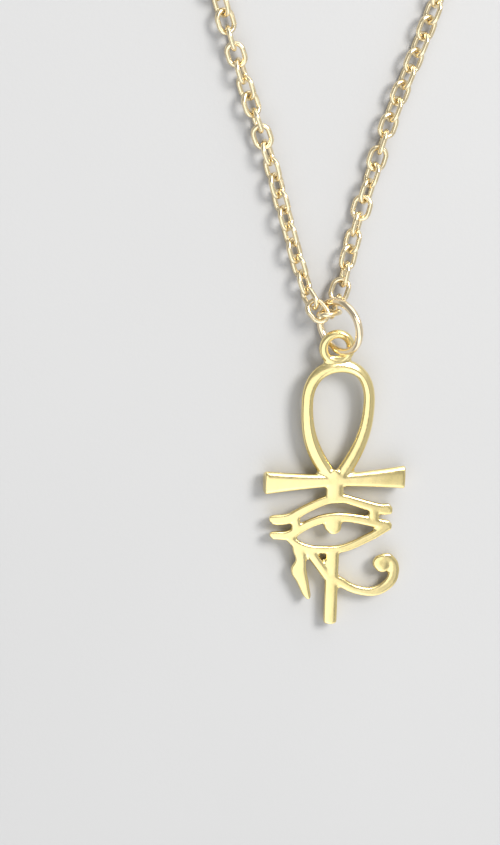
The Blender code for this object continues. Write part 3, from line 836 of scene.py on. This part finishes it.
def hoopStations():
    # right side from the root to the top, then the left one as its mirror image
    side = hoop["width"] / 2 - hoop["sideLimb"] / 2
    top = hoop["height"] - hoop["topLimb"] / 2
    widest = Vector((side, hoop["widest"], 0))
    root = Vector((hoop["rootX"], hoop["rootY"], 0))
    angle = math.radians(hoop["rootLean"])
    lean = Vector((math.sin(angle), math.cos(angle), 0))
    lower = interpolate_bezier(
        root, root + lean * hoop["rootPull"] * hoop["widest"],
        widest - Vector((0, hoop["sidePull"] * hoop["widest"], 0)), widest, hoop["lowerSteps"])
    upper = interpolate_bezier(
        widest, widest + Vector((0, hoop["fullness"] * (top - hoop["widest"]), 0)),
        Vector((hoop["fullness"] * side, top, 0)), Vector((0, top, 0)), hoop["upperSteps"])
    stations = []
    for point in list(lower)[:-1] + list(upper):
        if point.y < hoop["widest"]:
            share = (hoop["widest"] - point.y) / (hoop["widest"] - hoop["rootY"])
            endLimb, taper = hoop["rootLimb"], hoop["rootTaper"]
        else:
            share = (point.y - hoop["widest"]) / (top - hoop["widest"])
            endLimb, taper = hoop["topLimb"], hoop["topTaper"]
        width = hoop["sideLimb"] + (endLimb - hoop["sideLimb"]) * share ** taper
        stations.append((point.x, point.y, width / 2))
    stations.insert(0, (hoop["foot"] * hoop["rootX"], -hoop["foot"] * hoop["rootY"],
                        hoop["foot"] * hoop["rootLimb"] / 2))
    left = []
    for x, y, half in stations[:-1]:
        share = min(max(y / hoop["widest"], 0.0), 1.0)
        swell = hoop["swell"] * math.sin(math.pi * share ** hoop["swellRise"]) ** 2 / 2
        left.append((-x - swell, y, half + swell))
    return left + stations[::-1]


def armStations():
    stations = []
    steps = arms["steps"]
    for row in range(-steps, steps + 1):
        opening = (abs(row) / steps) ** arms["flare"]
        height = arms["rootHeight"] + (arms["endHeight"] - arms["rootHeight"]) * opening
        stations.append((arms["shift"] + row / steps * arms["span"] / 2, 0.0, height / 2))
    return stations


def barStations(start, end, width, steps=12):
    return [(start[0] + (end[0] - start[0]) * step / steps,
             start[1] + (end[1] - start[1]) * step / steps, width / 2)
            for step in range(steps + 1)]


def ballMesh():
    # the knob in the curl, the right half of a limb's section turned round its middle
    rows = limbSection(eyeFigure["ball"] / 2, eyeFigure["ballEdge"])
    section = [row for row in rows if row[0] >= 0]
    section = [(0.0, casting["thickness"])] + section[1:] + [(0.0, 0.0)]
    steps = eyeFigure["ballSteps"]
    verts = []
    faces = []
    for step in range(steps):
        angle = math.tau * step / steps
        verts += [(across * math.cos(angle), across * math.sin(angle), height)
                  for across, height in section[1:-1]]
    count = len(section) - 2
    verts += [(0, 0, section[0][1]), (0, 0, 0)]
    top, bottom = len(verts) - 2, len(verts) - 1
    for step in range(steps):
        near, far = step * count, (step + 1) % steps * count
        faces.append((top, near, far))
        faces.append((near + count - 1, bottom, far + count - 1))
        for row in range(count - 1):
            faces.append((near + row, near + row + 1, far + row + 1, far + row))
    place = (eyeFigure["ballPlace"][0] * eyeFigure["halfWidth"],
             eyeFigure["ballPlace"][1] * casting["lowerHeight"], 0)
    return spreadFaces(np.array(verts) + np.array(place), faces, eyeFigure["edge"]["spread"])


def castingParts():
    down = casting["lowerHeight"]
    eyeEdge = eyeFigure["edge"]
    yield limbMesh(hoopStations(), hoop["edge"])
    yield limbMesh(armStations(), arms["edge"])
    middle = stem["shift"]
    yield limbMesh(barStations(
        (middle, eyeFigure["browMiddle"] * down), (middle, stem["neckTop"]),
        stem["neckWidth"]), stem["edge"])
    yield limbMesh(roundTip(barStations(
        (0, 0), (0, stem["webEnd"]), stem["webWidth"]), stem["webTip"]), eyeEdge)
    yield limbMesh(roundBoth(barStations(
        (-stem["plateau"], stem["plateauMiddle"]), (stem["plateau"], stem["plateauMiddle"]),
        stem["plateauWidth"])), stem["plateauEdge"])
    for name in ("brow", "upperLid"):
        yield limbMesh(roundBoth(eyeStations(name)), eyeEdge)
    for name in ("lowerLid", "tearMark", "strut", "curl", "leftPost", "rightPost"):
        yield limbMesh(eyeStations(name), eyeEdge)
    pupilX = eyeFigure["pupilShift"] * eyeFigure["halfWidth"]
    yield limbMesh(roundTip(barStations(
        (pupilX, eyeFigure["upperLidMiddle"] * down), (pupilX, eyeFigure["pupilEnd"] * down),
        eyeFigure["pupilWidth"]), eyeFigure["pupilTip"]), eyeEdge)
    foot = -down + casting["tip"][0] * stem["width"] / 2
    yield limbMesh(roundTip(barStations(
        (middle, eyeFigure["lowerLidMiddle"] * down), (middle, foot),
        stem["width"], stem["steps"])), stem["edge"])
    yield ballMesh()
    collarY = hoop["height"] - eyelet["collarDrop"]
    collarX = eyelet["shift"] / 2
    verts, faces = limbMesh(roundBoth(barStations(
        (collarX - eyelet["collarWidth"] / 2, collarY),
        (collarX + eyelet["collarWidth"] / 2, collarY), eyelet["collarDepth"])), eyeEdge)
    yield verts * np.array([1, 1, eyelet["collarRise"]]), faces
    path = circlePath((eyelet["hole"] + eyelet["wire"]) / 2, eyelet["segments"])
    verts, faces = wireLoop(path, eyelet["wire"] / 2, eyelet["sides"])
    middleY = hoop["height"] + (1 - eyelet["sink"]) * eyelet["wire"] + eyelet["hole"] / 2
    yield verts + np.array([eyelet["shift"], middleY, eyelet["middle"]]), faces


def grow(mesh, amount, rise=1.0):
    # moves the skin out or in; out and back again rounds the inner corners
    writeVerts(mesh, readVerts(mesh) + readNormals(mesh) * np.array([1, 1, rise]) * amount * mm)


def dome(mesh):
    # the casting thins towards the ends of the arms
    places = readVerts(mesh)
    places[:, 2] *= 1 - casting["dome"] * (places[:, 0] / mm / casting["domeReach"]) ** 2
    writeVerts(mesh, places)


def makePendant():
    verts, faces = joinParts(castingParts())
    piece = newPiece("ankh_casting", verts * mm, faces)
    fuse(piece, casting["voxel"])
    smoothMesh(piece.data, casting["voxelRounds"])
    grow(piece.data, casting["fillet"])
    fuse(piece, casting["voxel"])
    smoothMesh(piece.data, casting["voxelRounds"])
    grow(piece.data, -casting["fillet"])
    smoothMesh(piece.data, casting["smoothRounds"])
    grow(piece.data, casting["plating"], 0.0)
    dome(piece.data)
    lean = math.asin(-floorZ / mm / casting["lowerHeight"])      # the foot is on the surface
    piece.data.transform(Matrix.Rotation(lean, 4, "X"))
    piece.data.update()
    finishPiece(piece, makeGold("lemonGoldCasting", casting["finish"]), "lemon_gold", "pendant")
    print("casting fused,", len(piece.data.polygons), "faces")


makePendant()

# Surface and light

studio = {
    "floorSize": 3.0,          # metres
    "floorSteps": 12,
    "floorColour": (0.49, 0.487, 0.483),
    "floorShade": (0.455, 0.452, 0.448),
    "floorRoughness": 0.75,
    "cloudScale": 14.0, "cloudDetail": 3.0,
    "grainScale": 2600.0, "grainDetail": 2.0, "grainStrength": 0.12, "grainDepth": 0.08,
    "roomColour": (0.95, 0.97, 1.0),
    "roomStrength": 0.38,
    # soft panels of the room: direction, cosines where they start and are full, strength
    "panels": (
        ((-0.30, -0.40, 0.866), 0.775, 0.845, 1.15),
        ((0.22, -0.90, 0.38), 0.80, 0.93, 1.0),
        ((0.24, 0.90, 0.36), 0.82, 0.94, 1.5),
        ((0.92, -0.10, 0.38), 0.70, 0.95, 0.22),
    ),
    # the lamp: where it aims, distance and size in metres, direction from the object, watts
    "lampAim": (-0.002, 0.012, 0.0),
    "lampDirection": (0.46, 0.44, 0.77),
    "lampDistance": 0.8, "lampSize": 0.36, "lampPower": 6.0,
    "lampColour": (1.0, 0.985, 0.96),
}


def makeFloor():
    half = studio["floorSize"] / 2
    steps = studio["floorSteps"]
    marks = [-half + 2 * half * step / steps for step in range(steps + 1)]
    verts = [(x, y, floorZ) for y in marks for x in marks]
    faces = [(row * (steps + 1) + column, row * (steps + 1) + column + 1,
              (row + 1) * (steps + 1) + column + 1, (row + 1) * (steps + 1) + column)
             for row in range(steps) for column in range(steps)]
    floor = newPiece("surface", verts, faces)
    material = bpy.data.materials.new("paleSurface")
    material.use_nodes = True
    tree = material.node_tree
    shader = tree.nodes["Principled BSDF"]
    shader.inputs["Roughness"].default_value = studio["floorRoughness"]
    place = addNode(tree, "ShaderNodeTexCoord")
    clouds = addNode(tree, "ShaderNodeTexNoise", {
        "Scale": studio["cloudScale"], "Detail": studio["cloudDetail"]})
    tint = addNode(tree, "ShaderNodeMix", data_type="RGBA")
    tint.inputs["A"].default_value = (*studio["floorShade"], 1)
    tint.inputs["B"].default_value = (*studio["floorColour"], 1)
    grain = addNode(tree, "ShaderNodeTexNoise", {
        "Scale": studio["grainScale"], "Detail": studio["grainDetail"]})
    bump = addNode(tree, "ShaderNodeBump", {
        "Strength": studio["grainStrength"], "Distance": studio["grainDepth"] * mm})
    joinSockets(
        tree,
        (place.outputs["Object"], clouds.inputs["Vector"]),
        (place.outputs["Object"], grain.inputs["Vector"]),
        (clouds.outputs["Fac"], tint.inputs["Factor"]),
        (tint.outputs["Result"], shader.inputs["Base Color"]),
        (grain.outputs["Fac"], bump.inputs["Height"]),
        (bump.outputs["Normal"], shader.inputs["Normal"]))
    floor.data.materials.append(material)


def makeLamp():
    lamp = bpy.data.lights.new("key", "AREA")
    lamp.shape = "DISK"
    lamp.size = studio["lampSize"]
    lamp.energy = studio["lampPower"]
    lamp.color = studio["lampColour"]
    thing = bpy.data.objects.new("key", lamp)
    away = Vector(studio["lampDirection"]).normalized()
    place = Vector(studio["lampAim"]) + away * studio["lampDistance"]
    thing.matrix_world = (Matrix.Translation(place)
                          @ away.to_track_quat("Z", "Y").to_matrix().to_4x4())
    bpy.context.scene.collection.objects.link(thing)


def makeRoom():
    # an even room with a few soft bright panels, as the metal mirrors them
    world = bpy.data.worlds.new("studioRoom")
    bpy.context.scene.world = world
    world.use_nodes = True
    tree = world.node_tree
    place = addNode(tree, "ShaderNodeTexCoord")
    total = studio["roomStrength"]
    for direction, start, full, strength in studio["panels"]:
        toPanel = addNode(tree, "ShaderNodeVectorMath", operation="DOT_PRODUCT")
        toPanel.inputs[1].default_value = Vector(direction).normalized()
        soft = addNode(tree, "ShaderNodeMapRange", interpolation_type="SMOOTHERSTEP")
        soft.inputs["From Min"].default_value = start
        soft.inputs["From Max"].default_value = full
        soft.inputs["To Max"].default_value = strength
        joinSockets(
            tree,
            (place.outputs["Generated"], toPanel.inputs[0]),
            (toPanel.outputs["Value"], soft.inputs["Value"]))
        total = mathNode(tree, "ADD", soft.outputs["Result"], total)
    background = tree.nodes["Background"]
    background.inputs["Color"].default_value = (*studio["roomColour"], 1)
    joinSockets(tree, (total, background.inputs["Strength"]))


makeFloor()
makeLamp()
makeRoom()
bpy.context.scene.view_settings.view_transform = "Standard"
print("surface and lights set")
